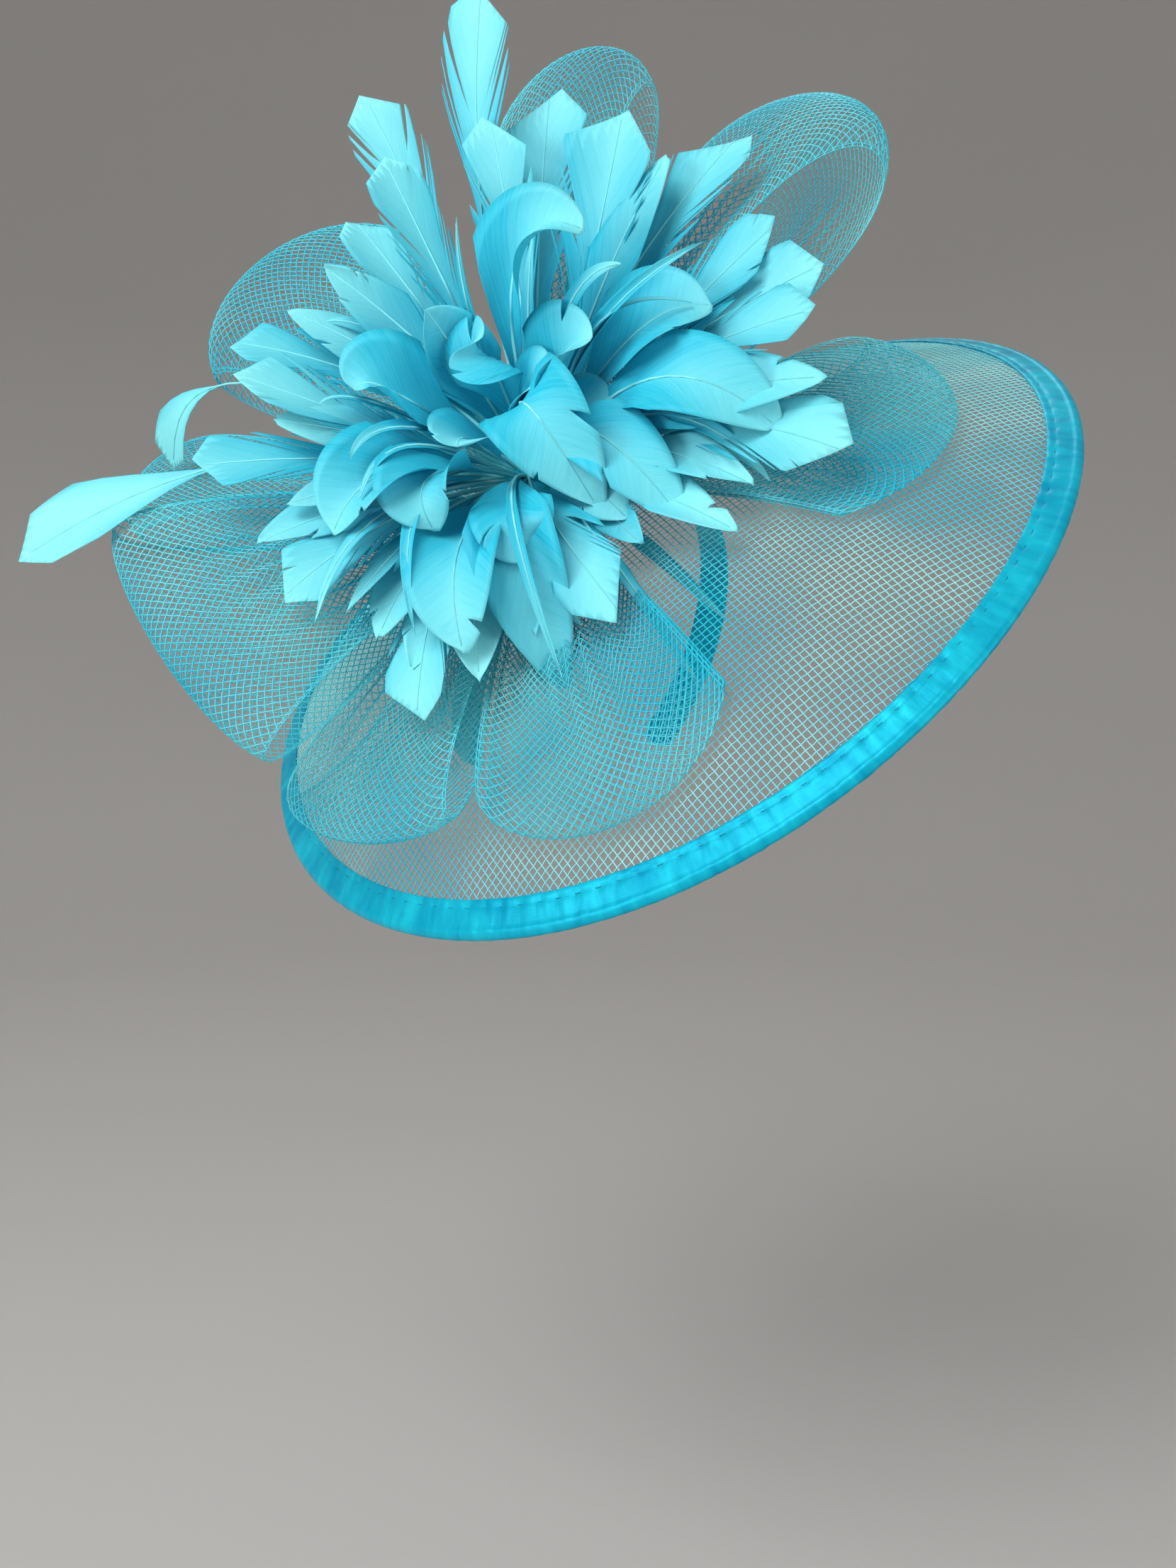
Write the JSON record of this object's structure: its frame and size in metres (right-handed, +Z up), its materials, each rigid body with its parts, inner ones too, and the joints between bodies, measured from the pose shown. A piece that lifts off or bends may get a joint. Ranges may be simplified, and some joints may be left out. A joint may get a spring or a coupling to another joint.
{
  "type": "fascinator hat",
  "caption": "Net fascinator hat: a domed saucer brim with a bound edge on a headband, net bow loops and a bloom of trimmed feathers.",
  "frame": {"origin": "where the headband's inner face rests on the crown of the head", "axes": "+Z up, the wearer looks along -Y, the brim tips down to the wearer's right, which is -X"},
  "size_m": [0.3256, 0.3492, 0.345],
  "materials": {
    "band_satin": "satin ribbon, turquoise",
    "brim_crin": "fine open crinoline net, turquoise",
    "edge_satin": "satin binding, stitched, turquoise",
    "bloom_feather": "dyed feather, matt with a soft sheen",
    "long_feather": "dyed feather with a stripped quill",
    "loop_crin": "open crinoline net ribbon, turquoise"
  },
  "bodies": {
    "root": {"headband": "band_satin", "brim_net": "brim_crin", "brim_binding": "edge_satin", "feather_bloom": "bloom_feather", "long_feather_low": "long_feather", "long_feather_high": "long_feather", "loop_left_high": "loop_crin", "loop_front_left": "loop_crin", "loop_front_low": "loop_crin", "loop_back": "loop_crin", "loop_back_right": "loop_crin", "loop_right": "loop_crin", "loop_right_low": "loop_crin", "loop_front_right": "loop_crin"}
  },
  "joints": []
}
